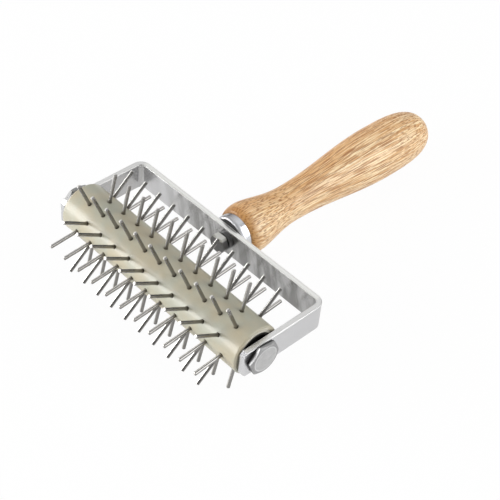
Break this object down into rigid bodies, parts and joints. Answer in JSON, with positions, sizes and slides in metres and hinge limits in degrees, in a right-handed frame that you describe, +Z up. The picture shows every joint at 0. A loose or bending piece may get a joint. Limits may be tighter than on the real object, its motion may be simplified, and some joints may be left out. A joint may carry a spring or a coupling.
{
  "type": "dough docker",
  "caption": "Hand roller studded with staggered rows of steel pins, held in a bent steel strap frame with a turned wooden handle, for pricking rolled dough.",
  "frame": {"origin": "on the table, under the middle of the whole tool as it rests on two rows of pins and the bulb of the handle", "axes": "+X along the roller's axle towards the bolt's head, +Y from the roller towards the end of the handle, +Z up"},
  "size_m": [0.1476, 0.2274, 0.0595],
  "materials": {
    "roller_plastic": "cream plastic, softly polished",
    "bush_plastic": "natural bearing plastic",
    "pin_steel": "drawn stainless wire",
    "strap_steel": "brushed stainless bar",
    "bolt_steel": "turned steel",
    "ferrule_steel": "polished",
    "insert_brass": "plain",
    "handle_wood": "open-pored hardwood under clear lacquer"
  },
  "bodies": {
    "frame": {"frame_strap": "strap_steel", "axle_bolt": "bolt_steel", "axle_nut": "bolt_steel", "spacer_near": "bolt_steel", "spacer_far": "bolt_steel", "handle": "handle_wood", "ferrule": "ferrule_steel", "handle_insert": "insert_brass", "handle_bolt": "bolt_steel", "handle_lock_washer": "bolt_steel"},
    "roller": {"roller_tube": "roller_plastic", "roller_bush_near": "bush_plastic", "roller_bush_far": "bush_plastic", "pin_row_01": "pin_steel", "pin_row_02": "pin_steel", "pin_row_03": "pin_steel", "pin_row_04": "pin_steel", "pin_row_05": "pin_steel", "pin_row_06": "pin_steel", "pin_row_07": "pin_steel", "pin_row_08": "pin_steel", "pin_row_09": "pin_steel", "pin_row_10": "pin_steel"}
  },
  "joints": [
    {"name": "roller_spin", "type": "hinge", "parent": "frame", "child": "roller", "pos_m": [0, -0.08268, 0.02973], "axis": [1, 0, 0], "continuous": true}
  ]
}
